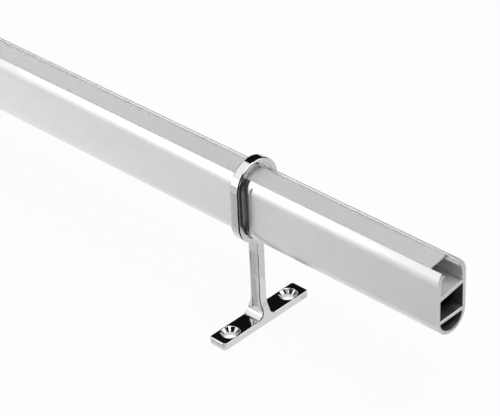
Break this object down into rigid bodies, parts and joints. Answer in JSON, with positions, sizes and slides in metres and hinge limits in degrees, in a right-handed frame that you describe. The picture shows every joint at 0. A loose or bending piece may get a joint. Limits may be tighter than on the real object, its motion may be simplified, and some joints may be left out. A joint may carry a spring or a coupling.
{
  "type": "wardrobe rail",
  "caption": "Oval aluminium wardrobe rail with a tilted, covered light channel, carried by a chromed ring bracket on a stem and a countersunk foot.",
  "frame": {"origin": "centre of the foot's underside, midway between its two screw holes", "axes": "+X along the rail towards its nearer cut end, +Y across the rail towards the side that the light channel faces away from, +Z from the foot up to the rail"},
  "size_m": [0.414, 0.046, 0.0724],
  "materials": {
    "satin_aluminium": "satin anodised",
    "opal_cover": "satin, translucent",
    "bright_chrome": "polished plating",
    "board_white": "white solder mask",
    "chip_yellow": "yellow phosphor in white housing",
    "resistor_black": "matt",
    "tinned_copper": "tinned",
    "tape_tan": "matt"
  },
  "bodies": {
    "bracket": {"centre_bracket": "bright_chrome"},
    "rail": {"rail_profile": "satin_aluminium", "strip_board": "board_white", "light_chips": "chip_yellow", "strip_resistors": "resistor_black", "solder_pads": "tinned_copper", "adhesive_tape": "tape_tan"},
    "cover": {"diffuser_cover": "opal_cover"}
  },
  "joints": [
    {"name": "rail_slide", "type": "slide", "parent": "bracket", "child": "rail", "axis": [1, 0, 0], "range_m": [-0.085, 0.31]},
    {"name": "cover_slide", "type": "slide", "parent": "rail", "child": "cover", "axis": [1, 0, 0], "range_m": [-0.38, 0.38]}
  ]
}
